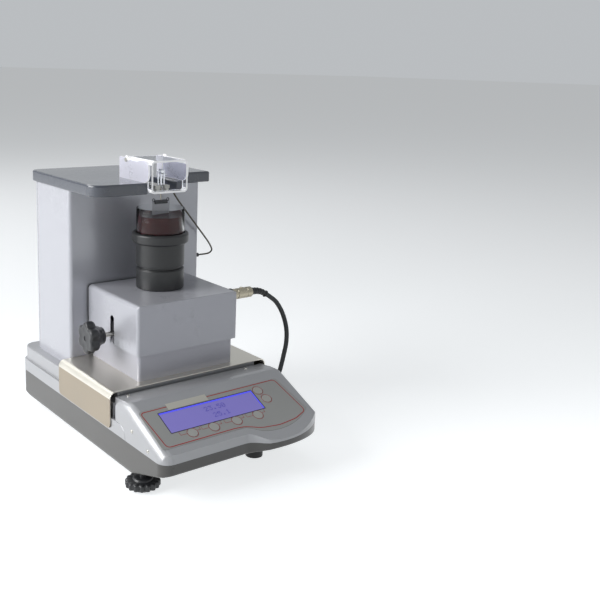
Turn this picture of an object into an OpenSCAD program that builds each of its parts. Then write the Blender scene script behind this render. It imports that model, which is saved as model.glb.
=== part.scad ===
/* [Base] */
// half width of the base casings
base_hw = 110.3; // [100:0.1:130]
// distance from the stage front plane to the straight part of the nose
nose_y = 121; // [110:0.5:135]
// rear face of the base
base_back = 250; // [235:0.5:265]
// underside of the tray above the bench
tray_z = 15; // [12:0.5:20]
// seam between tray and upper casings
seam_z = 50; // [44:0.5:56]
// top of the rear casing behind the saddle
rear_top = 83; // [78:0.5:90]
// wall thickness of the moulded casings
wall = 2.5; // [2:0.1:4]

/* [Saddle and stage] */
// top face of the saddle plate
saddle_z = 96; // [90:0.5:104]
// saddle sheet thickness
saddle_t = 1.5; // [1:0.1:2.5]
// half width outside the saddle flanges
saddle_hw = 112.3; // [104:0.1:134]
// half width of the sliding stage cover
cover_hw = 71.4; // [60:0.2:80]
// depth of the sliding stage cover
cover_d = 123; // [110:0.5:123.5]
// lower edge of the stage cover as stored
cover_z = 128; // [120:0.5:132]
// top of the stage cover as stored
cover_top = 188.7; // [184:0.1:194]
// sheet thickness of cover and lower box
sheet_t = 1.2; // [0.8:0.1:2]
// gap between the cover's inner face and the lower box
cover_gap = 2.8; // [1.5:0.1:4]

/* [Column and cap] */
// half width of the column
col_hw = 95.8; // [85:0.2:105]
// front plane of the column
col_y = 125.4; // [125:0.1:135]
// rear face of the column
col_back = 219.5; // [205:0.5:228]
// top of the column, where the cap rests
col_top = 308.4; // [295:0.2:325]
// thickness of the cap
cap_t = 14; // [10:0.5:18]
// front plane of the cap's two fingers
cap_front = 58; // [54:0.5:64]

/* [Measuring head] */
// centre of the wire, the plate and the dish across the part
head_x = 1; // [-3:0.1:3]
// centre of the wire, the plate and the dish front to back
head_y = 70; // [66:0.2:74]
// dish outer radius
dish_r = 30; // [26:0.2:30.5]
// dish height
dish_h = 33; // [24:0.5:36]
// width of the measuring plate
plate_w = 25; // [18:0.5:30]
// height of the measuring plate
plate_h = 20.5; // [18:0.5:24]

/* [Lift] */
// link length of the jack arms between pivots
link = 50; // [48:0.5:52]
// height of the lead screw above the bench
screw_z = 140.7; // [139:0.1:142]
// radius of the star knob
knob_r = 20; // [16:0.5:22]
// running clearance of pins in their holes, on the radius
run_gap = 0.05; // [0.02:0.01:0.09]
// clearance between neighbouring pieces
fit_gap = 0.3; // [0.2:0.05:0.5]

/* [Hidden] */
$fn = 48;
sock_out = 1.2;
y_mid = (base_back + sock_out - nose_y - 18) / 2;
slope = 23.75;
panel_y = -53.5;
panel_z = saddle_z - 5.5;
nose_x = 44;
nose_r = 91;
nose_c = nose_y + 18 - nose_r;
pan_t = 0.8;
key_r = 5.9;
key_xs = [-60.5, -31.8, -0.5, 29.7, 53.3, 56.3];
key_ss = [51.4, 51.4, 51.4, 51.4, 16.7, 31.5];
cap_z = col_top;
cap_top = col_top + cap_t;
ped_r = 29.9;
ped_top = cover_top + 26.3;
hold_z = ped_top + 2.8;
dish_z = hold_z + 38.5;
flange_r = dish_r + 5.2;
pivot_a = 8;
base_pin_z = saddle_z + 8;
rise = screw_z - base_pin_z;
spread = sqrt(link * link - rise * rise);
top_pin_z = screw_z + rise;
jack_y = cover_d / 2;
block_x = pivot_a + spread;
arm_w = 10;
pin_r = 2.5;
arm_z = cap_z + 4.6;
bar_z = arm_z + 21;
rod_r = 1.2;
rod_x = 4.3;
eye_z = arm_z + 1.6;
plate_z = eye_z - 18.2;
hood_y = 104;
hood_z = cap_top + 23.6;
wheel_r = 19.8;
// places of the two levelling wheels, left front and right rear, and of the two plain feet
wheel_at = [[-100, -62], [88, base_back - 28]];
plain_at = [[54, -65], [-58, base_back - 30]];
panel_in = 3.6 * cos(slope);
sock_z = seam_z + 7.7;
gland_y = -24;
gland_z = seam_z + 22;
outlet_y = 132;
outlet_z = 206.6;
lead_in_y = 101;
lead_in_z = cap_z + 2.5;

// ---------- shared shapes ----------

function smooth(t) = let(u = min(1, max(0, t))) u * u * (3 - 2 * u);
// front outline of the base: straight on the left, a rounded nose on the right
function nose(x) = nose_y + smooth((x + 2) / 24)
    * (nose_c + sqrt(nose_r * nose_r - (x - nose_x) * (x - nose_x)) - nose_y);
function arc(cx, cy, r, a0, a1, n) =
    [for (i = [0:n]) [cx + r * cos(a0 + (a1 - a0) * i / n),
        cy + r * sin(a0 + (a1 - a0) * i / n)]];

// base outline drawn in by d all round
module plan(d) {
    rr = 18;
    rf = 14;
    polygon(concat(
        arc(base_hw - rr, base_back - rr, rr - d, 0, 90, 6),
        arc(-base_hw + rr, base_back - rr, rr - d, 90, 180, 6),
        arc(-base_hw + rf, -nose_y + rf, rf - d, 180, 270, 6),
        [for (i = [0:20]) let(x = -2 + (base_hw - d + 2) * i / 20)
            [x, -(nose(x) - d)]]));
}

// a profile of [y, z] points carried from x0 to x1
module side_extrude(pts, x0, x1) {
    translate([x0, 0, 0]) rotate([90, 0, 90]) linear_extrude(x1 - x0) polygon(pts);
}

module box(p0, p1) {
    translate(p0) cube(p1 - p0);
}

// rounded rectangle made of squares and circles
module round_rect(w, h, r) {
    translate([-w / 2 + r, -h / 2]) square([w - 2 * r, h]);
    translate([-w / 2, -h / 2 + r]) square([w, h - 2 * r]);
    for (x = [-w / 2 + r, w / 2 - r])
        for (y = [-h / 2 + r, h / 2 - r])
            translate([x, y]) circle(r);
}

// shape with round upper corners only, top at y = 0
module round_top(hw, h, r) {
    translate([-hw, -h]) square([2 * hw, h - r]);
    translate([-hw + r, -h]) square([2 * hw - 2 * r, h]);
    for (s = [-1, 1]) translate([s * (hw - r), -r]) circle(r);
}

// local frame of the sloping panel: x across, -y down the slope, z outwards
module on_panel() {
    translate([0, panel_y, panel_z]) rotate([slope, 0, 0]) children();
}

module xcyl(r, x0, x1, y, z) {
    translate([x0, y, z]) rotate([0, 90, 0]) cylinder(r = r, h = x1 - x0);
}

module ycyl(r, y0, y1, x, z) {
    translate([x, y0, z]) rotate([-90, 0, 0]) cylinder(r = r, h = y1 - y0);
}

// ---------- base ----------

tray_prof = [[base_back + 5, tray_z], [-50, tray_z], [-150, tray_z + 31],
    [-150, seam_z], [base_back + 5, seam_z]];
tray_in = [[base_back + 5, tray_z + 3], [-49, tray_z + 3],
    [-150, tray_z + 34.4], [-150, seam_z + 1], [base_back + 5, seam_z + 1]];

module tray_holes() {
    for (p = wheel_at) translate(p) cylinder(r = 4 + run_gap, h = 36);
    for (p = plain_at) translate(p) cylinder(r = 2, h = 40);
}

module lower_tray() color([0.36, 0.36, 0.36]) difference() {
    intersection() {
        linear_extrude(seam_z) plan(0.3);
        side_extrude(tray_prof, -150, 150);
    }
    difference() {
        intersection() {
            linear_extrude(seam_z + 1) plan(0.3 + wall);
            side_extrude(tray_in, -150, 150);
        }
        for (p = wheel_at) translate(p) cylinder(r = 8, h = tray_z + 18);
    }
    tray_holes();
}

rear_skirt = seam_z + 15.4;
tongue_y = -40;

// forward tongues of the rear casing's skirt, grown by d all round
module tongues(d, z0) {
    for (s = [-1, 1]) side_extrude(concat([[-7, z0], [-7, rear_skirt + d]],
        arc(tongue_y + 14, rear_skirt - 14, 14 + d, 90, 180, 8), [[tongue_y - d, z0]]),
        s * (base_hw - 1.6) - 1.6 - d, s * (base_hw - 1.6) + 1.6 + d);
}

module rear_casing() color([0.78, 0.78, 0.79]) difference() {
    union() {
        intersection() {
            union() {
                translate([0, 0, seam_z]) linear_extrude(rear_skirt - seam_z) plan(0);
                translate([0, 0, seam_z]) linear_extrude(rear_top - seam_z) plan(3);
            }
            box([-150, -8, 0], [150, 300, 200]);
        }
        translate([0, 0, seam_z]) linear_extrude(saddle_z - saddle_t - seam_z)
            translate([0, 58.5]) round_rect(200, 127, 6);
        tongues(0, seam_z);
    }
    intersection() {
        translate([0, 0, seam_z - 1]) linear_extrude(rear_top - wall - seam_z + 1)
            plan(3 + wall);
        box([-150, -20, 0], [150, 300, 200]);
    }
    translate([0, 0, seam_z]) linear_extrude(saddle_z - saddle_t - wall - seam_z)
        translate([0, 58.5]) round_rect(200 - 2 * wall, 127 - 2 * wall, 4);
    translate([40, 170, rear_top - 10]) cylinder(r = 9, h = 20);
    ycyl(4.8, base_back - 12, base_back + 2, -60, sock_z);
    box([-22, base_back - 12, sock_z - 5], [8, base_back + 2, sock_z + 5]);
}

function panel_h(y) = panel_z + (y - panel_y) * tan(slope);
crest = saddle_z - 1.8;
front_top = [[-8.5, saddle_z - 6], [-20, saddle_z - 5.2], [-28, saddle_z - 3.8],
    [-36, saddle_z - 2.2], [-43, crest], [-47, panel_h(-47) - 0.3],
    [-126, panel_h(-126)], [-150, panel_h(-126) - 6]];
front_prof = concat([[-8.5, seam_z]], front_top, [[-150, seam_z]]);
front_in = concat([[-11, seam_z - 1], [-11, saddle_z - 9.2]],
    [for (i = [1:7]) front_top[i] - [0, 3.3]], [[-150, seam_z - 1]]);

module front_block(d, prof, r) {
    intersection() {
        translate([0, 0, seam_z - 1]) linear_extrude(60) plan(d);
        side_extrude(prof, -150, 150);
        on_panel() translate([0, 80, 0]) rotate([90, 0, 0]) linear_extrude(260)
            round_top(base_hw - d, 90, r);
        translate([0, 0, crest]) rotate([90, 0, 0]) linear_extrude(200)
            round_top(base_hw - d, 60, r);
    }
}

// outline of the printed panel, x across and s down the slope
function pan_s(x, d) = (nose(x) - 8.7 - 4.5 * smooth((x + 2) / 24) + panel_y)
    / cos(slope) - d;
module panel_shape(d) {
    polygon(concat(
        arc(-105.5 + 5, -5 - 5, 5 - d, 180, 90, 4),
        arc(90 - 3, -4.5 - 3, 3 - d, 90, 0, 4),
        [for (i = [0:18]) let(x = 97 - d - 99 * i / 18) [x, -pan_s(x, d)]],
        arc(-105.5 + 5, -pan_s(-20, 0) + 5, 5 - d, 270, 180, 4)));
}

win_x = [-84, 45];
win_s = [13.7, 44.8];

module front_casing() color([0.78, 0.78, 0.79]) difference() {
    front_block(0, front_prof, 12);
    difference() {
        front_block(wall, front_in, 10);
        for (i = [0:5]) on_panel() translate([key_xs[i], -key_ss[i], -5])
            cylinder(r = key_r + 0.8, h = 5);
        for (s = [-1, 1]) box([s * base_hw - 9, -22, 0], [s * base_hw + 9, 0, 200]);
    }
    for (s = [-1, 1]) side_extrude(concat([[0, seam_z - 1], [-18, seam_z - 1]],
        arc(-27, saddle_z - 14, 9, 0, 90, 6), [[-27, 200], [0, 200]]),
        s * base_hw - 5, s * base_hw + 5);
    on_panel() translate([0, 0, -pan_t]) linear_extrude(5) panel_shape(0);
    on_panel() box([win_x[0], -win_s[1], -20], [win_x[1], -win_s[0], 5]);
    for (i = [0:5]) on_panel() translate([key_xs[i], -key_ss[i], 0]) {
        translate([0, 0, -3]) cylinder(r = key_r + fit_gap, h = 5);
        translate([0, 0, -20]) cylinder(r = 2.3, h = 22);
    }
    tongues(0.5, 0);
    xcyl(4, base_hw - 10, base_hw + 5, gland_y, gland_z);
    box([-40, -20, seam_z], [40, -5, seam_z + 18]);
}

module saddle_plate() color([0.8, 0.8, 0.8]) intersection() {
    translate([0, 125, saddle_z]) rotate([90, 0, 0]) linear_extrude(133)
        difference() {
            round_top(saddle_hw, 43.6, 8);
            translate([0, -saddle_t]) round_top(saddle_hw - saddle_t, 50, 8 - saddle_t);
        }
    union() {
        box([-150, -2, 0], [150, 119, 150]);
        box([-150, -8, saddle_z - 37.6], [150, 125, 150]);
        for (y = [-2, 119]) xcyl(6, -150, 150, y, saddle_z - 37.6);
    }
}

// ---------- keypad and display ----------

module panel_overlay() color([0.8, 0.8, 0.79]) on_panel() difference() {
    translate([0, 0, -pan_t]) linear_extrude(pan_t) panel_shape(fit_gap);
    box([win_x[0], -win_s[1], -3], [win_x[1], -win_s[0], 3]);
    for (i = [0:5]) translate([key_xs[i], -key_ss[i], -3])
        cylinder(r = key_r + fit_gap, h = 6);
}

module display_window() color([0.3, 0.3, 0.9, 0.6]) on_panel()
    box([win_x[0] + 0.2, -win_s[1] + 0.2, -2], [win_x[1] - 0.2, -win_s[0] - 0.2, 0]);

module display_module() color([0.2, 0.2, 0.25]) on_panel() {
    box([win_x[0] - 6, -win_s[1] + 0.2, -10], [win_x[1] + 1.2, -win_s[0] + 5, -panel_in]);
    box([win_x[0] + 1, -win_s[1] + 1, -4], [win_x[1] - 1, -win_s[0] - 1, -2]);
}

module key_board() color([0.1, 0.35, 0.2]) on_panel() {
    box([-80, -57, -9.6], [40, -46, -8]);
    box([48, -38, -9.6], [70, -10, -8]);
    for (p = [[-72, -51.4], [15, -51.4], [66, -24]])
        translate([p[0], p[1], -8.1]) cylinder(r = 2, h = 8.1 - panel_in);
    for (i = [0:5]) translate([key_xs[i], -key_ss[i], -8.1]) cylinder(r = 1.8, h = 1.2);
}

module key(i) color([0.82, 0.82, 0.8]) on_panel()
    translate([key_xs[i], -key_ss[i], 0]) {
        translate([0, 0, -1.8]) cylinder(r = key_r, h = 2);
        translate([0, 0, -6.3]) cylinder(r = 2, h = 4.6);
    }

module key_1() key(0);
module key_2() key(1);
module key_3() key(2);
module key_4() key(3);
module key_5() key(4);
module key_6() key(5);

module main_board() color([0.1, 0.4, 0.22]) {
    difference() {
        box([-70, 15, 60], [70, 115, 61.6]);
        for (x = [-65, 65]) for (y = [20, 110]) translate([x, y, 50]) cylinder(r = 1.7, h = 20);
    }
    box([-40, 40, 61.5], [-10, 70, 66]);
    box([10, 60, 61.5], [36, 84, 64]);
    for (x = [-20, 0, 20]) translate([x, 98, 61.5]) cylinder(r = 5, h = 12);
    for (x = [-65, 65]) for (y = [20, 110]) translate([x, y, tray_z + 3]) difference() {
        cylinder(r = 3, h = 60 - tray_z - 3);
        translate([0, 0, 20]) cylinder(r = 1.7, h = 60);
    }
}

module casing_screws() color([0.75, 0.75, 0.75]) {
    for (s = [-1, 1]) for (p = [[-55.2, 66.4], [-89.5, 56.3]])
        translate([s * base_hw, p[0], p[1]]) rotate([0, s * 90, 0]) cylinder(r = 2.6, h = 1);
    for (x = [-92, 76]) translate([x, -15, saddle_z - 5.53]) rotate([-3.98, 0, 0])
        cylinder(r = 2.6, h = 1);
}

// ---------- column and cap ----------

// plan of the folded column sheet: back and sides, then the front with round corners
module column_plan() {
    difference() {
        translate([-col_hw, col_y + 5]) square([2 * col_hw, col_back - 1.4 - col_y - 5]);
        translate([-col_hw + 1.5, col_y + 3]) square([2 * col_hw - 3, 120]);
    }
    difference() {
        union() {
            translate([-col_hw + 5, col_y]) square([2 * col_hw - 10, 6]);
            for (s = [-1, 1]) translate([s * (col_hw - 5), col_y + 5]) circle(5);
        }
        translate([-col_hw + 5, col_y + 1.5]) square([2 * col_hw - 10, 6]);
        for (s = [-1, 1]) translate([s * (col_hw - 5), col_y + 5]) circle(3.5);
        translate([-col_hw + 1.5, col_y + 5]) square([2 * col_hw - 3, 8]);
    }
}

module column_housing() color([0.84, 0.84, 0.87]) difference() {
    translate([0, 0, rear_top]) linear_extrude(col_top - rear_top) column_plan();
    xcyl(2, col_hw - 5, col_hw + 5, outlet_y, outlet_z);
}

module column_back() color([0.8, 0.8, 0.83]) {
    difference() {
        box([-col_hw, col_back - 1.4, rear_top], [col_hw, col_back, col_top]);
        for (i = [0:5]) box([-25, col_back - 5, 230 + i * 8], [25, col_back + 5, 233 + i * 8]);
    }
}

finger_x = [-96.6, -22, 17, 28.4];
cap_right = 113.4;
cap_back = col_back + 19.5;

module cap_plan() {
    union() {
        translate([finger_x[0], cap_front + 20]) square([finger_x[1] - finger_x[0], 60]);
        translate([finger_x[0] + 20, cap_front]) square([finger_x[1] - finger_x[0] - 26, 60]);
        translate([finger_x[0] + 20, cap_front + 20]) circle(20);
        translate([finger_x[1] - 6, cap_front + 6]) circle(6);
        translate([finger_x[1] - 20, cap_front + 6]) square([20, 60]);
        translate([finger_x[2] + 4, cap_front]) square([finger_x[3] - finger_x[2] - 8, 70]);
        translate([finger_x[2], cap_front + 4]) square([finger_x[3] - finger_x[2], 70]);
        for (x = [finger_x[2] + 4, finger_x[3] - 4]) translate([x, cap_front + 4]) circle(4);
        translate([finger_x[0], col_y]) square([cap_right - finger_x[0] - 4, cap_back - col_y - 12]);
        translate([finger_x[0], col_y + 4]) square([cap_right - finger_x[0], cap_back - col_y - 16]);
        translate([cap_right - 4, col_y + 4]) circle(4);
        translate([finger_x[0] + 12, col_y]) square([cap_right - finger_x[0] - 24, cap_back - col_y]);
        for (x = [finger_x[0] + 12, cap_right - 12]) translate([x, cap_back - 12]) circle(12);
    }
}

module cap() color([0.3, 0.33, 0.37]) difference() {
    translate([0, 0, cap_z]) linear_extrude(cap_t) cap_plan();
    box([-col_hw + 4, col_y + 4, cap_z - 1], [col_hw - 4, col_back - 4, cap_top - 3]);
    box([head_x - 9, col_y - 5, cap_z - 1], [head_x + 9, col_y + 6, cap_top - 3]);
    for (x = [-88, 22.7]) translate([x, 86, cap_z - 1]) cylinder(r = 1.6, h = 8);
    xcyl(1.4, finger_x[3] - 5, finger_x[3] + 1, lead_in_y, lead_in_z);
    for (s = [-1, 1]) for (y = [68, 104]) box([s * 27.2 - 1.05, y - 0.05, cap_top - 3.1],
        [s * 27.2 + 1.05, y + 8.05, cap_top + 1]);
}

module cap_screws() color([0.75, 0.75, 0.75]) for (x = [-88, 22.7])
    translate([x, 86, cap_z - 1.6]) {
        cylinder(r = 2.8, h = 1.6);
        cylinder(r = 1.5, h = 8);
    }

module weighing_cell() color([0.7, 0.71, 0.73]) difference() {
    box([head_x - 17, 136, cap_z - 24.4], [head_x + 17, col_back - 1.4, cap_z - 2.4]);
    for (y = [158, 182]) xcyl(7, head_x - 30, head_x + 30, y, cap_z - 13.4);
    box([head_x - 30, 158, cap_z - 15], [head_x + 30, 182, cap_z - 11.8]);
}

module hanger_arm() color([0.78, 0.78, 0.76]) {
    box([head_x - 4, 138, cap_z - 2.4], [head_x + 4, 148, arm_z + 0.2]);
    box([head_x - 4, 78, arm_z], [head_x + 4, 148, arm_z + 4]);
    box([head_x - 10.1, 77, arm_z], [head_x + 10.1, 82, arm_z + 4]);
    for (s = [-1, 1]) {
        box([head_x + s * 6.6 - 3.5, 66, arm_z], [head_x + s * 6.6 + 3.5, 78, arm_z + 4]);
        box([head_x + s * 6.6 - 2, 66, arm_z - 3.2], [head_x + s * 6.6 + 2, 72, arm_z + 0.2]);
    }
}

module hook_stand() color([0.85, 0.85, 0.86]) {
    for (s = [-1, 1]) {
        translate([head_x + s * rod_x, head_y, arm_z + 4])
            cylinder(r = rod_r, h = bar_z - arm_z - 4);
        translate([head_x + s * rod_x, head_y, bar_z]) sphere(r = rod_r + 0.2);
    }
    xcyl(rod_r, head_x - rod_x, head_x + rod_x, head_y, bar_z);
    xcyl(0.8, head_x + rod_x, head_x + rod_x + 5, head_y, bar_z - 4.4);
}

module cheek(s) {
    x0 = s > 0 ? 26.2 : -28.2;
    difference() {
        union() {
            translate([x0, 0, 0]) rotate([90, 0, 90]) linear_extrude(2) difference() {
                union() {
                    translate([60.6, cap_top]) square([60.9, 26.4]);
                    translate([50.6, cap_top + 10.4]) square([20, 6]);
                    translate([60.6, cap_top + 10.4]) circle(10);
                    translate([60.6, cap_top + 16.4]) circle(10);
                    translate([hood_y, hood_z]) circle(5.2);
                }
                translate([75, cap_top + 24.2]) square([20, 1.6]);
                translate([hood_y, hood_z]) circle(1.6);
            }
            for (y = [68, 104]) box([x0, y, cap_top - 3], [x0 + 2, y + 8, cap_top + 1]);
        }
        box([-50, 119, cap_top + 23.6], [50, 125, cap_top + 40]);
        box([-50, 40, cap_top - 5], [50, cap_front, cap_top + 0.3]);
    }
    intersection() {
        xcyl(2.8, x0, x0 + 2, 118.7, cap_top + 23.6);
        box([-50, 117, cap_top + 22], [50, 125, cap_top + 40]);
    }
}

module left_cheek() color([0.88, 0.88, 0.92]) cheek(-1);
module right_cheek() color([0.88, 0.88, 0.92]) cheek(1);

module hood_pivots() color([0.8, 0.8, 0.8]) for (s = [-1, 1]) {
    a = s > 0 ? 28.2 : -29.6;
    xcyl(2.6, a, a + 1.4, hood_y, hood_z);
    b = s > 0 ? 22.4 : -28.4;
    xcyl(1.5, b, b + 6, hood_y, hood_z);
}

hood_hw = 25.6;
hood_t = 2.2;
hood_top = cap_top + 27.2;
hood_bot = cap_z + 1.6;

module hood() color([0.85, 0.9, 0.95, 0.4]) difference() {
    intersection() {
        translate([0, 110, (hood_top + hood_bot) / 2]) rotate([90, 0, 0])
            linear_extrude(62) difference() {
                round_rect(2 * hood_hw, hood_top - hood_bot, 5);
                round_rect(2 * (hood_hw - hood_t), hood_top - hood_bot - 2 * hood_t, 5 - hood_t);
            }
        union() {
            box([-50, 40, 0], [50, cap_front - 1, 400]);
            box([-50, 40, cap_top + 1], [50, hood_y, 400]);
            xcyl(6, -50, 50, hood_y, hood_z);
        }
    }
    xcyl(1.5 + run_gap, -50, 50, hood_y, hood_z);
}

module hook() color([0.88, 0.88, 0.9]) {
    difference() {
        xcyl(3.4, head_x - 1.6, head_x + 1.6, head_y, bar_z);
        xcyl(rod_r + run_gap, head_x - 5, head_x + 5, head_y, bar_z);
    }
    translate([head_x, head_y, arm_z + 4.5]) cylinder(r = 1.5, h = bar_z - arm_z - 6.9);
    translate([head_x, head_y, arm_z + 4.5]) sphere(r = 1.5);
    translate([head_x, head_y, eye_z]) rotate([90, 0, 0]) rotate_extrude($fn = 40)
        translate([2, 0]) circle(r = 0.6, $fn = 20);
}

module hanger_wire() color([0.7, 0.68, 0.62]) {
    translate([head_x, head_y, plate_z + 1.6]) cylinder(r = 0.5, h = eye_z - plate_z - 5);
    translate([head_x, head_y, eye_z - 2.2]) rotate([90, 0, 90]) rotate_extrude($fn = 36)
        translate([1.3, 0]) circle(r = 0.45, $fn = 16);
}

module plate_holder() color([0.2, 0.2, 0.22]) {
    difference() {
        box([head_x - 9, head_y - 1.6, plate_z - 2.4], [head_x + 9, head_y + 1.6, plate_z + 2]);
        box([head_x - 10, head_y - 0.2, plate_z - 9], [head_x + 10, head_y + 0.2, plate_z + 0.2]);
        translate([head_x, head_y, plate_z + 0.6]) cylinder(r = 0.55, h = 3);
    }
    for (s = [-1, 1]) translate([head_x + s * 10.2, head_y, plate_z + 2.4]) rotate([90, 0, 0])
        rotate_extrude($fn = 32) translate([1.7, 0]) circle(r = 0.5, $fn = 16);
}

module measuring_plate() color([0.8, 0.85, 0.88, 0.6])
    box([head_x - plate_w / 2, head_y - 0.15, plate_z - plate_h],
        [head_x + plate_w / 2, head_y + 0.15, plate_z]);

// ---------- dish and stage ----------

module on_head(z) {
    translate([head_x, head_y, z]) children();
}

module dish() color([0.85, 0.92, 0.95, 0.4]) on_head(dish_z) rotate_extrude($fn = 72) {
    square([dish_r, 2]);
    translate([dish_r - 1.5, 0]) square([1.5, dish_h - 0.7]);
    translate([dish_r - 0.8, dish_h - 0.8]) circle(r = 0.8, $fn = 20);
}

module dish_holder() color([0.13, 0.13, 0.13]) on_head(hold_z) rotate_extrude($fn = 72)
    difference() {
        union() {
            square([30.2, 30]);
            translate([0, 28.2]) square([flange_r - 3, 13.2]);
            translate([0, 31.2]) square([flange_r, 7.2]);
            translate([flange_r - 3, 31.2]) circle(r = 3, $fn = 24);
            translate([flange_r - 3, 38.4]) circle(r = 3, $fn = 24);
        }
        square([20 + run_gap, 33]);
        translate([0, dish_z - hold_z]) square([dish_r + 0.5, 10]);
    }

module pedestal() color([0.13, 0.13, 0.13]) on_head(cover_top) difference() {
    rotate_extrude($fn = 72) difference() {
        union() {
            square([ped_r, ped_top - cover_top - 1]);
            square([ped_r - 1, ped_top - cover_top]);
            square([27, hold_z - cover_top]);
            square([20, hold_z - cover_top + 8]);
        }
        square([14, 100]);
    }
    for (a = [0, 120, 240]) rotate(a) translate([20, 0, -1]) cylinder(r = 1.6, h = 12);
}

module pedestal_screws() color([0.7, 0.7, 0.7])
    for (a = [0, 120, 240]) on_head(cover_top) translate([20 * cos(a), 20 * sin(a), 0]) {
        translate([0, 0, -sheet_t - 2]) cylinder(r = 3, h = 2);
        translate([0, 0, -sheet_t - 1]) cylinder(r = 1.5, h = sheet_t + 9);
    }

module cover_body(d) {
    hw = cover_hw - d;
    intersection() {
        translate([0, 0, cover_z - 1]) linear_extrude(cover_top - cover_z + 1 - d) union() {
            translate([-hw, 4]) square([2 * hw, cover_d - 4 - d]);
            translate([-hw + 4 - d, d]) square([2 * (hw - 4 + d), 10]);
            for (s = [-1, 1]) translate([s * (hw - 4 + d), 4]) circle(4 - d);
        }
        translate([0, 200, cover_top - d]) rotate([90, 0, 0]) linear_extrude(300)
            round_top(hw, 100, 5 - d);
    }
}

slot_w = 9;

module stage_cover() color([0.85, 0.85, 0.87]) difference() {
    intersection() {
        cover_body(0);
        box([-200, -10, cover_z], [200, 200, 300]);
    }
    cover_body(sheet_t);
    xcyl(slot_w / 2, -cover_hw - 5, -cover_hw + 5, jack_y, cover_z + 31);
    box([-cover_hw - 5, jack_y - slot_w / 2, 0],
        [-cover_hw + 5, jack_y + slot_w / 2, cover_z + 31]);
    xcyl(6.05, cover_hw - 5, cover_hw + 5, 17, cover_top - 9);
    for (a = [0, 120, 240]) on_head(cover_top) translate([20 * cos(a), 20 * sin(a), -5])
        cylinder(r = 1.6, h = 10);
}

module cover_trim() color([0.2, 0.2, 0.2])
    translate([0, cover_d + 1.2, cover_top]) rotate([90, 0, 0]) linear_extrude(1.2)
        difference() {
            round_top(cover_hw, cover_top - cover_z, 5);
            translate([0, -2.4]) round_top(cover_hw - 2.4, 100, 3);
        }

box_hw = cover_hw - sheet_t - cover_gap;
box_y0 = sheet_t + cover_gap;
box_y1 = cover_d - 4;

module lower_box() color([0.74, 0.74, 0.75]) difference() {
    translate([0, 0, saddle_z]) linear_extrude(58) difference() {
        union() {
            translate([-box_hw, box_y0 + 4]) square([2 * box_hw, box_y1 - box_y0 - 4]);
            translate([-box_hw + 4, box_y0]) square([2 * box_hw - 8, 10]);
            for (s = [-1, 1]) translate([s * (box_hw - 4), box_y0 + 4]) circle(4);
        }
        translate([-box_hw + sheet_t, box_y0 + 4])
            square([2 * (box_hw - sheet_t), box_y1 - box_y0 - 4 - sheet_t]);
        translate([-box_hw + 4, box_y0 + sheet_t]) square([2 * box_hw - 8, 10]);
        for (s = [-1, 1]) translate([s * (box_hw - 4), box_y0 + 4]) circle(4 - sheet_t);
    }
    xcyl(slot_w / 2, -box_hw - 5, -box_hw + 5, jack_y, 129);
    box([-box_hw - 5, jack_y - slot_w / 2, 129], [-box_hw + 5, jack_y + slot_w / 2, 200]);
}

// ---------- scissor jack ----------

module jack_base() color([0.6, 0.61, 0.63]) {
    box([-40, jack_y - 36, saddle_z], [40, jack_y + 36, saddle_z + 2]);
    for (s = [-1, 1]) {
        box([-15, jack_y + s * 32 - 1, saddle_z + 1], [15, jack_y + s * 32 + 1, saddle_z + 12]);
        for (x = [-pivot_a, pivot_a])
            ycyl(pin_r, jack_y + s * 34 - 2.6, jack_y + s * 34 + 2.6, x, base_pin_z);
    }
}

module jack_top() color([0.6, 0.61, 0.63]) {
    difference() {
        box([-40, jack_y - 41, top_pin_z + 7.6], [40, jack_y + 41, cover_top - sheet_t]);
        for (a = [0, 120, 240]) on_head(0) translate([20 * cos(a), 20 * sin(a), 0])
            cylinder(r = 3.4, h = 400);
    }
    for (s = [-1, 1]) {
        box([-15, jack_y + s * 40 - 1, top_pin_z - 4], [15, jack_y + s * 40 + 1, top_pin_z + 8]);
        for (x = [-pivot_a, pivot_a])
            ycyl(pin_r, jack_y + s * 38 - 2.6, jack_y + s * 38 + 2.6, x, top_pin_z);
    }
}

// a pair of flat links from one pivot to another, hole radii r0 and r1
module arms(x0, z0, x1, z1, off, r0, r1) {
    a = atan2(z1 - z0, x1 - x0);
    for (s = [-1, 1]) translate([x0, jack_y + s * off + 1, z0]) rotate([90, -a, 0])
        linear_extrude(2) difference() {
            union() {
                translate([0, -arm_w / 2]) square([link, arm_w]);
                circle(r0 + 2.4);
                translate([link, 0]) circle(r1 + 2.4);
            }
            circle(r0);
            translate([link, 0]) circle(r1);
        }
}

module lower_arms_left() color([0.66, 0.67, 0.7])
    arms(-pivot_a, base_pin_z, -block_x, screw_z, 34.6, pin_r + run_gap, 3 + run_gap);
module lower_arms_right() color([0.66, 0.67, 0.7])
    arms(pivot_a, base_pin_z, block_x, screw_z, 34.6, pin_r + run_gap, 3 + run_gap);
module upper_arms_left() color([0.66, 0.67, 0.7])
    arms(-pivot_a, top_pin_z, -block_x, screw_z, 37.2, 4.3, 3 + run_gap);
module upper_arms_right() color([0.66, 0.67, 0.7])
    arms(pivot_a, top_pin_z, block_x, screw_z, 37.2, 4.3, 3 + run_gap);

module trunnion(x, r) difference() {
    union() {
        box([x - 5, jack_y - 33, screw_z - 6], [x + 5, jack_y + 33, screw_z + 6]);
        for (s = [-1, 1]) ycyl(3, jack_y + s * 35.6 - 2.8, jack_y + s * 35.6 + 2.8, x, screw_z);
    }
    xcyl(r, x - 10, x + 10, jack_y, screw_z);
}

module screw_block() color([0.62, 0.63, 0.66]) trunnion(-block_x, 3 + run_gap);
module nut_block() color([0.78, 0.65, 0.35]) trunnion(block_x, 4 + run_gap);

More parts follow.
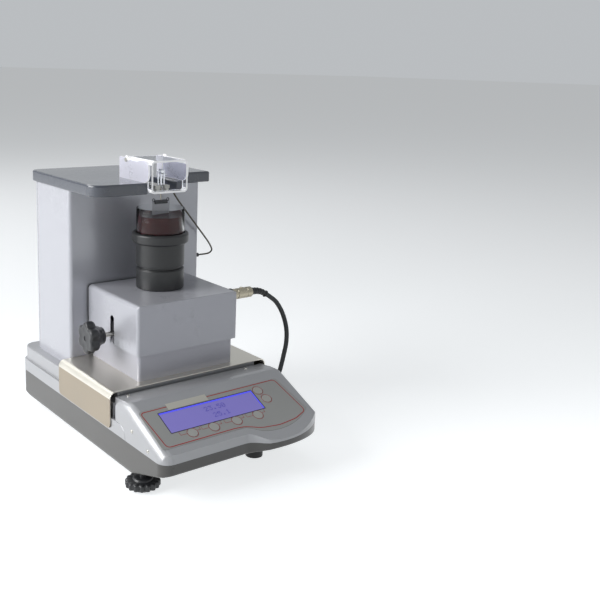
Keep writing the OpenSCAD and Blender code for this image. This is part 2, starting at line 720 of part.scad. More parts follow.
screw_end = -block_x + 97;
module lead_screw() color([0.82, 0.82, 0.84]) {
    xcyl(3, -98, -block_x + 5.3, jack_y, screw_z);
    xcyl(4, -block_x + 5.2, screw_end, jack_y, screw_z);
    xcyl(4.4, -block_x - 7.2, -block_x - 5.2, jack_y, screw_z);
}

module star_knob() color([0.1, 0.1, 0.1]) {
    translate([-108, jack_y, screw_z]) rotate([0, 90, 0]) difference() {
        union() {
            translate([0, 0, 1.2]) linear_extrude(10.8) difference() {
                circle(knob_r);
                for (i = [0:5]) rotate(i * 60 + 30) translate([knob_r + 3, 0]) circle(7);
            }
            linear_extrude(1.4) difference() {
                circle(knob_r - 1.2);
                for (i = [0:5]) rotate(i * 60 + 30) translate([knob_r + 3, 0]) circle(8.2);
            }
            translate([0, 0, 11.9]) cylinder(r1 = 14, r2 = 11.6, h = 7);
            translate([0, 0, 18.8]) cylinder(r = 10.4, h = 8.4);
        }
        translate([0, 0, 10]) cylinder(r = 3 + run_gap, h = 30);
        translate([0, 0, -1]) cylinder(r = 2.6, h = 2.2);
    }
}

// ---------- cables and connectors ----------

con_z = cover_top - 9;
con_y = 17;
plug_x = cover_hw + 33;

module stage_socket() color([0.15, 0.15, 0.14]) {
    xcyl(8, cover_hw, cover_hw + 2.4, con_y, con_z);
    difference() {
        xcyl(6, cover_hw - 9, cover_hw + 4, con_y, con_z);
        xcyl(4.4, cover_hw - 6, cover_hw + 6, con_y, con_z);
    }
}

module stage_plug() color([0.72, 0.7, 0.64]) {
    difference() {
        xcyl(6.9, cover_hw + 2.6, plug_x, con_y, con_z);
        xcyl(6.2, cover_hw + 2, cover_hw + 4.4, con_y, con_z);
    }
    translate([cover_hw + 18, con_y, con_z + 6.5]) cylinder(r = 2.4, h = 1.4);
}

// routes: [x, y, z] points from the end that is named first
relief_pts = [[plug_x, 17, con_z], [plug_x + 6, 17, con_z], [plug_x + 13, 16.8, con_z - 1],
    [plug_x + 20, 16.4, con_z - 3.6], [plug_x + 25, 16, con_z - 6.8]];
cable_pts = [[plug_x + 25.2, 16, con_z - 6.93], [plug_x + 31, 15.5, con_z - 10.6],
    [plug_x + 42, 14, con_z - 20], [155, 11, con_z - 36], [157, 5, con_z - 54],
    [153, -1, con_z - 71], [143, -8, con_z - 87], [133, -15, con_z - 99],
    [124, -21, con_z - 106], [base_hw + 9, gland_y, gland_z], [base_hw + 6.2, gland_y, gland_z]];
sense_pts = [[finger_x[3] + 3.2, lead_in_y, lead_in_z], [34.8, 101.2, 309.9], [38.6, 102, 304],
    [44, 103.3, 295.6], [56, 106.5, 282.3], [75, 111.9, 262.4], [94, 117.2, 242.5],
    [108, 121.6, 227.9], [117, 126, 218], [121, 129.4, 211.6], [118, 131.6, 207.4],
    [111, outlet_y, outlet_z], [col_hw + 7, outlet_y, outlet_z],
    [col_hw + 4.2, outlet_y, outlet_z]];

// n steps along a smooth curve through every point
function route(p, n) = let(m = len(p) - 1) concat([for (i = [0:m - 1]) for (k = [0:n - 1])
    let(t = k / n, a = p[max(i - 1, 0)], b = p[i], c = p[i + 1], d = p[min(i + 2, m)])
    0.5 * (2 * b + (c - a) * t + (2 * a - 5 * b + 4 * c - d) * t * t
        + (3 * b - a - 3 * c + d) * t * t * t)], [p[m]]);

// tube of radius r0 at its first point and r1 at its last
module tube(p, r0, r1, sides) {
    m = len(p) - 1;
    rings = [for (i = [0:m]) let(
        v = p[min(i + 1, m)] - p[max(i - 1, 0)],
        u = cross(v, [0, 1, 0]) / norm(cross(v, [0, 1, 0])),
        w = cross(u, v) / norm(v), r = r0 + (r1 - r0) * i / m)
        for (k = [0:sides - 1]) p[i] + r * (cos(360 * k / sides) * u + sin(360 * k / sides) * w)];
    polyhedron(rings, concat([[for (k = [0:sides - 1]) k]],
        [for (i = [0:m - 1]) for (k = [0:sides - 1]) let(a = i * sides + k,
            b = i * sides + (k + 1) % sides) each [[a, a + sides, b], [b, a + sides, b + sides]]],
        [[for (k = [sides - 1:-1:0]) m * sides + k]]));
}

module plug_relief() color([0.1, 0.1, 0.1]) tube(route(relief_pts, 1), 4.8, 3.8, 12);
module stage_cable() color([0.25, 0.25, 0.25]) tube(route(cable_pts, 2), 3, 3, 12);
module sensor_cable() color([0.3, 0.29, 0.26]) tube(route(sense_pts, 2), 1.1, 1.1, 8);

module cable_glands() color([0.12, 0.12, 0.12]) {
    xcyl(5.4, base_hw, base_hw + 5.4, gland_y, gland_z);
    xcyl(3.8, base_hw - 6, base_hw + 0.1, gland_y, gland_z);
    xcyl(2.8, col_hw, col_hw + 4, outlet_y, outlet_z);
    xcyl(1.8, col_hw - 4, col_hw + 0.1, outlet_y, outlet_z);
    xcyl(2.3, finger_x[3], finger_x[3] + 3, lead_in_y, lead_in_z);
    xcyl(1.3, finger_x[3] - 4, finger_x[3] + 0.1, lead_in_y, lead_in_z);
}

// ---------- feet and rear ----------

module foot_wheel(p) translate(p) {
    difference() {
        union() {
            translate([0, 0, 3]) linear_extrude(8) difference() {
                circle(wheel_r);
                for (i = [0:15]) rotate(i * 22.5) translate([wheel_r + 1.4, 0])
                    circle(r = 3, $fn = 24);
            }
            translate([0, 0, 10.9]) cylinder(r = 11, h = 2.6);
        }
        translate([0, 0, 2]) cylinder(r = 4, h = 6);
    }
    translate([0, 0, 7.5]) cylinder(r = 4, h = 24);
}

module foot_wheel_left() color([0.09, 0.09, 0.09]) foot_wheel(wheel_at[0]);
module foot_wheel_right() color([0.09, 0.09, 0.09]) foot_wheel(wheel_at[1]);

module foot_pad(p) translate(p) {
    cylinder(r = 12, h = 2.6);
    cylinder(r = 4 - run_gap, h = 7.4);
}

module foot_pad_left() color([0.12, 0.12, 0.12]) foot_pad(wheel_at[0]);
module foot_pad_right() color([0.12, 0.12, 0.12]) foot_pad(wheel_at[1]);

module fixed_feet() color([0.1, 0.1, 0.1]) {
    for (p = plain_at) difference() {
        translate(p) cylinder(r1 = 10.5, r2 = 11, h = tray_z + 8);
        side_extrude(tray_prof, -150, 150);
    }
    for (p = plain_at) translate(p) translate([0, 0, 4]) cylinder(r = 1.9, h = tray_z + 12);
}

module rear_sockets() color([0.12, 0.12, 0.12]) {
    difference() {
        ycyl(4.7, base_back - 10, base_back + sock_out, -60, sock_z);
        ycyl(3.2, base_back - 6, base_back + 3, -60, sock_z);
    }
    difference() {
        box([-21.8, base_back - 10, sock_z - 4.8], [7.8, base_back + sock_out, sock_z + 4.8]);
        box([-16, base_back - 6, sock_z - 3], [2, base_back + 5, sock_z + 3]);
    }
}

// ---------- part ----------

module place() {
    translate([0, -y_mid, 0]) children();
}

place() lower_tray();
place() rear_casing();
place() front_casing();
place() saddle_plate();
place() panel_overlay();
place() display_window();
place() display_module();
place() key_board();
place() key_1();
place() key_2();
place() key_3();
place() key_4();
place() key_5();
place() key_6();
place() main_board();
place() casing_screws();
place() column_housing();
place() column_back();
place() cap();
place() cap_screws();
place() weighing_cell();
place() hanger_arm();
place() hook_stand();
place() left_cheek();
place() right_cheek();
place() hood_pivots();
place() hood();
place() hook();
place() hanger_wire();
place() plate_holder();
place() measuring_plate();
place() dish();
place() dish_holder();
place() pedestal();
place() pedestal_screws();
place() stage_cover();
place() cover_trim();
place() lower_box();
place() jack_base();
place() jack_top();
place() lower_arms_left();
place() lower_arms_right();
place() upper_arms_left();
place() upper_arms_right();
place() screw_block();
place() nut_block();
place() lead_screw();
place() star_knob();
place() stage_socket();
place() stage_plug();
place() plug_relief();
place() stage_cable();
place() cable_glands();
place() sensor_cable();
place() foot_wheel_left();
place() foot_wheel_right();
place() foot_pad_left();
place() foot_pad_right();
place() fixed_feet();
place() rear_sockets();
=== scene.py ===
import math

import bmesh
import bpy
from mathutils import Matrix, Vector


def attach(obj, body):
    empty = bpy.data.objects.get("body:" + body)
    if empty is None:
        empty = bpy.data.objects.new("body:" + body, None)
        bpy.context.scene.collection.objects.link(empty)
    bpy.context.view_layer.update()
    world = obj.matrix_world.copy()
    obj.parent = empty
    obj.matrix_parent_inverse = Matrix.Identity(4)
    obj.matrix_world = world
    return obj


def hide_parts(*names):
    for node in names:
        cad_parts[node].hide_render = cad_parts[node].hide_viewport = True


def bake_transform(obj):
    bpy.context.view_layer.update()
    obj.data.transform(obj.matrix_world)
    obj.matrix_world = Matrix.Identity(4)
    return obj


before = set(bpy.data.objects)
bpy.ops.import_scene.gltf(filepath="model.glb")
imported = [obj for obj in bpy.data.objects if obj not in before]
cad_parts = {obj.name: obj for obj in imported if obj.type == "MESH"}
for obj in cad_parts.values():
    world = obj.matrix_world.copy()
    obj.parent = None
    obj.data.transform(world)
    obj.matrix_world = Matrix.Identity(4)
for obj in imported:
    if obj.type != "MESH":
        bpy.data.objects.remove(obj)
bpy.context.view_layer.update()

# ---------- viewpoint ----------
# The instrument is seen from beyond its left front corner, from a little above the cap.
# The lens looks past it to the right, so the frame is shifted rather than the camera turned.
ahead = Vector((0.59994, 0.77568, -0.19595))
right = Vector((0.79432, -0.60675, 0.03012))
camera = bpy.data.objects.new("camera", bpy.data.cameras.new("camera"))
camera.data.lens = 51.61
camera.data.sensor_width = 36
camera.data.shift_x = 0.0833
camera.data.shift_y = -0.1
axes = Matrix((right, right.cross(ahead), -ahead)).transposed()
camera.matrix_world = Matrix.Translation((-0.55355, -0.88567, 0.4614)) @ axes.to_4x4()
bpy.context.scene.collection.objects.link(camera)
bpy.context.scene.camera = camera
bpy.context.scene.view_settings.view_transform = "Standard"

# ---------- cables ----------
# Two cables lie in the open. A thick rubber lead joins the stage's round connector to the
# base, and a thin sensor lead runs from the cap's right finger to the side of the column.
stage_front = 56.1
lead_radius = 3.0
sensor_radius = 1.1
socket_face = 71.4
plug_tip = 104.4
plug_y, plug_z = 17, 179.7


def at(x, y, z):
    """a point of the drawing, given in millimetres from the bench and the stage front"""
    return Vector((x, y - stage_front, z)) / 1000


def colour(r, g, b):
    """a printed colour, 0 to 255, as the light it gives back"""
    return tuple(((c / 255 + 0.055) / 1.055) ** 2.4 if c > 10 else c / 255 / 12.92
                 for c in (r, g, b)) + (1.0,)


def finish_for(name, shade, rough, metal=0.0, grain=900.0, relief=0.01, stretch=(1, 1, 1),
               cloud=0.06, cloud_size=16.0, uneven=0.06, **fixed):
    """a finish with cloudy colour, uneven gloss and a fine relief; relief is in millimetres"""
    material = bpy.data.materials.new(name)
    material.use_nodes = True
    nodes, links = material.node_tree.nodes, material.node_tree.links
    skin = nodes["Principled BSDF"]
    place = nodes.new("ShaderNodeTexCoord")
    fit = nodes.new("ShaderNodeMapping")
    fit.inputs["Scale"].default_value = stretch
    links.new(place.outputs["Object"], fit.inputs["Vector"])
    fine = nodes.new("ShaderNodeTexNoise")
    fine.inputs["Scale"].default_value = grain
    fine.inputs["Detail"].default_value = 3
    links.new(fit.outputs["Vector"], fine.inputs["Vector"])
    broad = nodes.new("ShaderNodeTexNoise")
    broad.inputs["Scale"].default_value = cloud_size
    broad.inputs["Detail"].default_value = 4
    links.new(place.outputs["Object"], broad.inputs["Vector"])
    bump = nodes.new("ShaderNodeBump")
    bump.inputs["Distance"].default_value = relief / 1000
    bump.inputs["Strength"].default_value = 0.6
    links.new(fine.outputs["Fac"], bump.inputs["Height"])
    links.new(bump.outputs["Normal"], skin.inputs["Normal"])
    tint = nodes.new("ShaderNodeMix")
    tint.data_type = "RGBA"
    base = colour(*shade)
    tint.inputs["A"].default_value = tuple(c * (1 - cloud) for c in base[:3]) + (1,)
    tint.inputs["B"].default_value = tuple(min(1, c * (1 + cloud)) for c in base[:3]) + (1,)
    both = nodes.new("ShaderNodeMath")
    both.operation = "MULTIPLY_ADD"
    both.inputs[1].default_value = 0.3
    links.new(fine.outputs["Fac"], both.inputs[0])
    lower = nodes.new("ShaderNodeMath")
    lower.operation = "MULTIPLY"
    lower.inputs[1].default_value = 0.7
    links.new(broad.outputs["Fac"], lower.inputs[0])
    links.new(lower.outputs["Value"], both.inputs[2])
    links.new(both.outputs["Value"], tint.inputs["Factor"])
    links.new(tint.outputs["Result"], skin.inputs["Base Color"])
    gloss = nodes.new("ShaderNodeMapRange")
    gloss.inputs["From Min"].default_value = 0.3
    gloss.inputs["From Max"].default_value = 0.7
    gloss.inputs["To Min"].default_value = max(0.02, rough - uneven)
    gloss.inputs["To Max"].default_value = rough + uneven
    links.new(both.outputs["Value"], gloss.inputs["Value"])
    links.new(gloss.outputs["Result"], skin.inputs["Roughness"])
    skin.inputs["Metallic"].default_value = metal
    for socket, value in fixed.items():
        skin.inputs[socket.replace("_", " ")].default_value = value
    return material


def new_piece(name, mesh, material, body, slot, *nodes):
    """puts a finished mesh on its body, in its finish, in the place of the drawn solids"""
    piece = bpy.data.objects.new(name, mesh)
    bpy.context.scene.collection.objects.link(piece)
    if material is not None:
        mesh.materials.clear()
        mesh.materials.append(material)
    if body:
        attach(piece, body)
    if nodes:
        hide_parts(*nodes)
    return piece


def dress(material, *nodes):
    """gives drawn solids whose shape is right their finish"""
    for node in nodes:
        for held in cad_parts[node].material_slots:
            held.material = material


def through(points, steps):
    """more points along a smooth line through the given ones"""
    line, last = [], len(points) - 1
    for i in range(last):
        a, b = points[max(i - 1, 0)], points[i]
        c, d = points[i + 1], points[min(i + 2, last)]
        for k in range(steps):
            t = k / steps
            line.append(0.5 * (2 * b + (c - a) * t + (2 * a - 5 * b + 4 * c - d) * t * t
                               + (3 * b - a - 3 * c + d) * t ** 3))
    return line + [points[-1]]


def to_mesh(name, bm, sharp=40):
    """closes a mesh under construction, smooth except along edges sharper than the angle"""
    bmesh.ops.recalc_face_normals(bm, faces=bm.faces)
    for face in bm.faces:
        face.smooth = True
    for e in bm.edges:
        e.smooth = len(e.link_faces) == 2 and e.calc_face_angle(0) < math.radians(sharp)
    mesh = bpy.data.meshes.new(name)
    bm.to_mesh(mesh)
    bm.free()
    return mesh


def hose(name, line, radii, sides=20):
    """a round skin along a line of points, with a radius in millimetres at each"""
    bm = bmesh.new()
    side = Vector((0, 1, 0))
    rings = []
    for i, p in enumerate(line):
        run = (line[min(i + 1, len(line) - 1)] - line[max(i - 1, 0)]).normalized()
        if abs(side.dot(run)) > 0.95:
            side = Vector((0, 0, 1))
        side = (side - side.dot(run) * run).normalized()
        over = run.cross(side)
        rings.append([bm.verts.new(p + radii[i] / 1000 * (
            math.cos(math.tau * k / sides) * side + math.sin(math.tau * k / sides) * over))
            for k in range(sides)])
    for low, high in zip(rings, rings[1:]):
        for k in range(sides):
            bm.faces.new((low[k], low[(k + 1) % sides], high[(k + 1) % sides], high[k]))
    bm.faces.new(list(reversed(rings[0])))
    bm.faces.new(rings[-1])
    return to_mesh(name, bm, 60)


rubber = finish_for("cable rubber", (50, 52, 54), 0.5, grain=1400, relief=0.012, cloud=0.1)
sleeve_black = finish_for("relief rubber", (24, 25, 27), 0.42, grain=1100, relief=0.015,
                          cloud=0.12)
sensor_brown = finish_for("sensor lead", (86, 80, 66), 0.4, grain=1500, relief=0.01)

lead_points = [at(115.5, -24, 72), at(119.3, -24, 72), at(124, -21, 73.7),
               at(133, -15, 80.7), at(143, -8, 92.7), at(153, -1, 108.7), at(157, 5, 125.7),
               at(155, 11, 143.7), at(146.4, 14, 159.7), at(135.4, 15.5, 169.1),
               at(129.6, 16, 172.77)]
lead_line = through(lead_points, 6)
lead = new_piece("stage_lead", hose("stage_lead", lead_line, [lead_radius] * len(lead_line)),
                 rubber, None, "cable_grey", "stage_cable")

# The moulded sleeve has a smooth neck, a row of soft ribs and a rolled collar at its end.
relief_line = through([at(plug_tip, plug_y, plug_z), at(plug_tip + 6, plug_y, plug_z),
                       at(plug_tip + 13, 16.8, plug_z - 1), at(plug_tip + 20, 16.4, 176.1),
                       at(plug_tip + 25, 16, 172.9)], 12)
relief_radii = []
for i in range(len(relief_line)):
    t = i / (len(relief_line) - 1)
    rib = 0.25 * math.cos(math.tau * 7 * t) if 0.12 < t < 0.82 else 0
    collar = 1.1 * math.exp(-((t - 0.92) / 0.05) ** 2)
    relief_radii.append(4.7 - 1.2 * t + rib + collar)
sleeve = new_piece("lead_sleeve", hose("lead_sleeve", relief_line, relief_radii, 28),
                   sleeve_black, "stage", "socket_black", "plug_relief")

sensor_points = [at(31.6, 101, 310.9), at(34.8, 101.2, 309.9), at(38.6, 102, 304),
                 at(44, 103.3, 295.6), at(56, 106.5, 282.3), at(75, 111.9, 262.4),
                 at(94, 117.2, 242.5), at(108, 121.6, 227.9), at(117, 126, 218),
                 at(121, 129.4, 211.6), at(118, 131.6, 207.4), at(111, 132, 206.6),
                 at(102.8, 132, 206.6), at(100, 132, 206.6)]
sensor_line = through(sensor_points, 6)
sensor = new_piece("sensor_lead",
                   hose("sensor_lead", sensor_line, [sensor_radius] * len(sensor_line), 14),
                   sensor_brown, "base", "thin_cable_brown", "sensor_cable")

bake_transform(lead)

# ---------- stage connector ----------
# A round metal plug stands in the cover's black socket: a grooved coupling ring, a plain
# body with a small clamp screw on top, and the rubber sleeve of the lead behind it.


def turned(name, profile, sides, start, axis):
    """a body of revolution; the profile lists distance along the axis and radius, in mm"""
    bm = bmesh.new()
    axis = Vector(axis)
    side = axis.orthogonal().normalized()
    over = axis.cross(side)
    rings = []
    for along, radius in profile:
        radius = max(radius, 0.001)
        rings.append([bm.verts.new(start + (axis * along + radius * (
            math.cos(math.tau * k / sides) * side
            + math.sin(math.tau * k / sides) * over)) / 1000) for k in range(sides)])
    for low, high in zip(rings, rings[1:]):
        for k in range(sides):
            bm.faces.new((low[k], low[(k + 1) % sides], high[(k + 1) % sides], high[k]))
    bm.faces.new(list(reversed(rings[0])))
    bm.faces.new(rings[-1])
    bmesh.ops.remove_doubles(bm, verts=bm.verts, dist=1.5e-6)
    return to_mesh(name, bm)


plug_metal = finish_for("plug metal", (188, 180, 160), 0.3, metal=0.75, grain=400,
                        relief=0.01, stretch=(1, 6, 6), cloud=0.08)
plug_profile = [(2.6, 0), (2.6, 6.4), (2.9, 6.8), (9.5, 6.8), (9.8, 6.4), (10.4, 6.4),
                (10.7, 6.9), (24, 6.9), (24.3, 6.5), (25, 6.5), (25.3, 6.9), (32, 6.9),
                (33, 6.2), (33, 0)]
plug = new_piece("lead_plug",
                 turned("lead_plug", plug_profile, 48, at(socket_face, plug_y, plug_z),
                        (1, 0, 0)),
                 plug_metal, "stage", "plug_beige", "stage_plug")
clamp = new_piece("plug_clamp_screw",
                  turned("plug_clamp_screw", [(-0.6, 2.2), (0.5, 2.2), (0.9, 1.9), (0.9, 0.9),
                                              (0.3, 0.7), (0.3, 0)], 24,
                         at(89.4, plug_y, plug_z + 6.9), (0, 0, 1)),
                  plug_metal, "stage", "plug_beige")
dress(finish_for("socket black", (26, 26, 27), 0.38, grain=1200, relief=0.01, cloud=0.1),
      "stage_socket", "cable_glands", "rear_sockets")

# ---------- lower tray ----------
# The base stands in a dark moulded tray. Its long sides roll under in a broad curve, the
# nose keeps a tighter edge, and the floor rises under the display.


def eased(node, *cuts, flat=0.6, sharp=50):
    """the drawn solid with flat faces joined and edges rounded; each cut is a width in
    millimetres and a test of an edge's middle, in drawing millimetres"""
    bm = bmesh.new()
    bm.from_mesh(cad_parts[node].data)
    bmesh.ops.remove_doubles(bm, verts=bm.verts, dist=2e-6)
    bmesh.ops.dissolve_limit(bm, angle_limit=math.radians(flat), verts=bm.verts,
                             edges=bm.edges, use_dissolve_boundaries=False, delimit=set())
    for width, segments, test in cuts:
        chosen = []
        for e in bm.edges:
            if len(e.link_faces) != 2 or e.calc_face_angle(0) < math.radians(32):
                continue
            m = (e.verts[0].co + e.verts[1].co) * 500 + Vector((0, stage_front, 0))
            if test(m, e):
                chosen.append(e)
        bmesh.ops.bevel(bm, geom=chosen, offset=width / 1000, offset_type="OFFSET",
                        segments=segments, profile=0.5, affect="EDGES",
                        clamp_overlap=False, miter_outer="ARC", material=-1)
    for face in bm.faces:
        face.smooth = True
    for e in bm.edges:
        e.smooth = len(e.link_faces) == 2 and e.calc_face_angle(0) < math.radians(sharp)
    mesh = bpy.data.meshes.new(node)
    bm.to_mesh(mesh)
    bm.free()
    return mesh


def weigh(piece):
    """keeps broad flat faces flat in the light, so only the rounded edges shade"""
    even = piece.modifiers.new("even", "WEIGHTED_NORMAL")
    even.keep_sharp = True
    return piece


tray_plastic = finish_for("tray plastic", (84, 83, 81), 0.34, grain=1600, relief=0.02,
                          cloud=0.08, uneven=0.08, Coat_Weight=0.25, Coat_Roughness=0.2)
tray_mesh = eased("lower_tray")
roll = tray_mesh.attributes.new("bevel_weight_edge", "FLOAT", "EDGE")
for e in tray_mesh.edges:
    m = (tray_mesh.vertices[e.vertices[0]].co + tray_mesh.vertices[e.vertices[1]].co) * 500
    if m.z > 46 or not e.use_edge_sharp:
        continue
    y = m.y + stage_front
    roll.data[e.index].value = 1.0 if y > -48 else 0.4
    e.use_edge_sharp = False
tray = new_piece("tray", tray_mesh, tray_plastic, "base", "tray_grey", "lower_tray")
rolled = tray.modifiers.new("rolled", "BEVEL")
rolled.limit_method = "WEIGHT"
rolled.width = 0.0055
rolled.segments = 6
rolled.use_clamp_overlap = False
weigh(tray)

# ---------- rear and front casings ----------
# Two mouldings in silver lacquer meet under the saddle: a stepped rear casing that carries
# the column, and a nose with the sloping panel. Their edges are softly rounded.
silver = finish_for("silver lacquer", (178, 179, 182), 0.34, metal=0.25, grain=2600,
                    relief=0.006, cloud=0.03, Coat_Weight=0.35, Coat_Roughness=0.15)
weigh(new_piece("casing_rear", eased("rear_casing",
      (1.6, 3, lambda m, e: m.z > 52 and e.is_convex and abs(m.y - 57) > 68)),
      silver, "base", "casing_silver", "rear_casing"))
weigh(new_piece("casing_front", eased("front_casing"), silver, "base", "casing_silver",
                "front_casing"))

# ---------- casing and cap screws ----------
# Bright cross-head screws hold the casings down, two on each flank and two on the shelf in
# front of the stage. One screw is turned up and set at each place with its own twist.


def place_copies(name, places, facings, part, material, twist):
    """copies of one part at given places, each facing its own way and turned by chance"""
    mesh = bpy.data.meshes.new(name)
    mesh.from_pydata([tuple(p) for p in places], [], [])
    facing = mesh.attributes.new("facing", "FLOAT_VECTOR", "POINT")
    for i, way in enumerate(facings):
        facing.data[i].vector = way
    group = bpy.data.node_groups.new(name, "GeometryNodeTree")
    sockets = {}
    for label, kind in (("Places", "NodeSocketGeometry"), ("Part", "NodeSocketObject"),
                        ("Twist", "NodeSocketFloat"), ("Finish", "NodeSocketMaterial")):
        sockets[label] = group.interface.new_socket(label, in_out="INPUT",
                                                    socket_type=kind).identifier
    group.interface.new_socket("Pieces", in_out="OUTPUT", socket_type="NodeSocketGeometry")
    nodes, links = group.nodes, group.links
    source = nodes.new("NodeGroupInput")
    result = nodes.new("NodeGroupOutput")
    shape = nodes.new("GeometryNodeObjectInfo")
    links.new(source.outputs["Part"], shape.inputs["Object"])
    way = nodes.new("GeometryNodeInputNamedAttribute")
    way.data_type = "FLOAT_VECTOR"
    way.inputs["Name"].default_value = "facing"
    aim = nodes.new("FunctionNodeAlignRotationToVector")
    aim.axis = "Z"
    links.new(way.outputs["Attribute"], aim.inputs["Vector"])
    chance = nodes.new("FunctionNodeRandomValue")
    chance.data_type = "FLOAT"
    chance.inputs["Seed"].default_value = 4
    links.new(source.outputs["Twist"], [s for s in chance.inputs
                                        if s.name == "Max" and s.type == "VALUE"][0])
    spin = nodes.new("FunctionNodeAxisAngleToRotation")
    links.new([s for s in chance.outputs if s.type == "VALUE"][0], spin.inputs["Angle"])
    both = nodes.new("FunctionNodeRotateRotation")
    both.rotation_space = "LOCAL"
    links.new(aim.outputs["Rotation"], both.inputs["Rotation"])
    links.new(spin.outputs["Rotation"], both.inputs["Rotate By"])
    spread = nodes.new("GeometryNodeInstanceOnPoints")
    links.new(source.outputs["Places"], spread.inputs["Points"])
    links.new(shape.outputs["Geometry"], spread.inputs["Instance"])
    links.new(both.outputs["Rotation"], spread.inputs["Rotation"])
    real = nodes.new("GeometryNodeRealizeInstances")
    links.new(spread.outputs["Instances"], real.inputs["Geometry"])
    coat = nodes.new("GeometryNodeSetMaterial")
    links.new(real.outputs["Geometry"], coat.inputs["Geometry"])
    links.new(source.outputs["Finish"], coat.inputs["Material"])
    links.new(coat.outputs["Geometry"], result.inputs["Pieces"])
    carrier = bpy.data.objects.new(name, mesh)
    bpy.context.scene.collection.objects.link(carrier)
    spreader = carrier.modifiers.new("spread", "NODES")
    spreader.node_group = group
    spreader[sockets["Part"]] = part
    spreader[sockets["Twist"]] = twist
    spreader[sockets["Finish"]] = material
    bpy.context.view_layer.update()
    made = bpy.data.meshes.new_from_object(
        carrier.evaluated_get(bpy.context.evaluated_depsgraph_get()))
    bpy.data.objects.remove(carrier)
    bpy.data.objects.remove(part)
    return made


def pan_screw(radius, height):
    """a domed screw head with a cross recess, facing up, in millimetres"""
    bm = bmesh.new()
    rings = []
    for r, z, cross in ((radius, -1.0, 0), (radius, height * 0.45, 0),
                        (radius * 0.86, height * 0.82, 0), (radius * 0.62, height, 0),
                        (radius * 0.58, height, 1), (radius * 0.52, height * 0.35, 1)):
        ring = []
        for k in range(32):
            a = math.tau * k / 32
            reach = r * (1 if not cross else 1 if k % 8 in (0, 1, 7) else 0.34)
            ring.append(bm.verts.new((reach * math.cos(a) / 1000, reach * math.sin(a) / 1000,
                                      z / 1000)))
        rings.append(ring)
    for low, high in zip(rings, rings[1:]):
        for k in range(32):
            bm.faces.new((low[k], low[(k + 1) % 32], high[(k + 1) % 32], high[k]))
    bm.faces.new(rings[-1])
    bm.faces.new(list(reversed(rings[0])))
    head = bpy.data.objects.new("screw head", to_mesh("screw head", bm, 50))
    bpy.context.scene.collection.objects.link(head)
    return head


bright_steel = finish_for("screw steel", (206, 204, 197), 0.25, metal=1.0, grain=700,
                          relief=0.01, cloud=0.08, uneven=0.1)
shelf_up = Vector((0, -0.0694, 0.9976))
places = [at(s * 110.3, y, z) for s in (-1, 1) for y, z in ((-55.2, 66.4), (-89.5, 56.3))]
facings = [(s, 0, 0) for s in (-1, 1) for _ in range(2)]
places += [at(-92, -15, 90.5), at(76, -15, 90.5)]
facings += [shelf_up, shelf_up]
new_piece("casing_screw_heads",
          place_copies("casing_screw_heads", places, facings, pan_screw(2.1, 1.0),
                       bright_steel, 6.28),
          None, "base", "screw_steel", "casing_screws")
dress(bright_steel, "cap_screws", "pedestal_screws", "hood_pivots", "lead_screw")

# ---------- display panel ----------
# A pale grey film covers the slope of the nose. It is printed with a red frame, red rings
# round six flat round keys, and short red leads that join the keys to the display above.
slope = math.radians(23.75)
slope_top_y, slope_top_z = -53.5, 90.5


def on_panel(x, y, lift):
    """a point of the panel: its place seen from above, and how far it stands off the film"""
    return at(x, y - lift * math.sin(slope),
              slope_top_z + (y - slope_top_y) * math.tan(slope) + lift * math.cos(slope))


def down_slope(distance):
    """where a distance down the slope lies, seen from above"""
    return slope_top_y - distance * math.cos(slope)


def ink_line(bm, points, width, closed=False, lift=0.06):
    """a printed line along points of the panel"""
    count, rims = len(points), []
    for i, p in enumerate(points):
        a = points[i - 1] if closed or i else p
        b = points[(i + 1) % count] if closed or i < count - 1 else p
        run = Vector((b[0] - a[0], b[1] - a[1])).normalized() * width / 2
        rims.append([bm.verts.new(on_panel(p[0] - k * run.y, p[1] + k * run.x, lift))
                     for k in (-1, 1)])
    for i in range(count if closed else count - 1):
        (a, b), (c, d) = rims[i], rims[(i + 1) % count]
        bm.faces.new((a, b, d, c))


def softened(points, radius):
    """the closed outline with each corner rounded"""
    out = []
    for i, p in enumerate(points):
        p = Vector(p)
        a, b = Vector(points[i - 1]), Vector(points[(i + 1) % len(points)])
        start = p + (a - p).normalized() * min(radius, (a - p).length * 0.45)
        end = p + (b - p).normalized() * min(radius, (b - p).length * 0.45)
        for k in range(6):
            t = k / 5
            out.append(start * (1 - t) ** 2 + 2 * p * t * (1 - t) + end * t * t)
    return out


def printed(name, bm):
    """closes a print, facing out of the panel"""
    bm.normal_update()
    for face in bm.faces:
        if face.normal.z < 0:
            face.normal_flip()
    mesh = bpy.data.meshes.new(name)
    bm.to_mesh(mesh)
    bm.free()
    return mesh


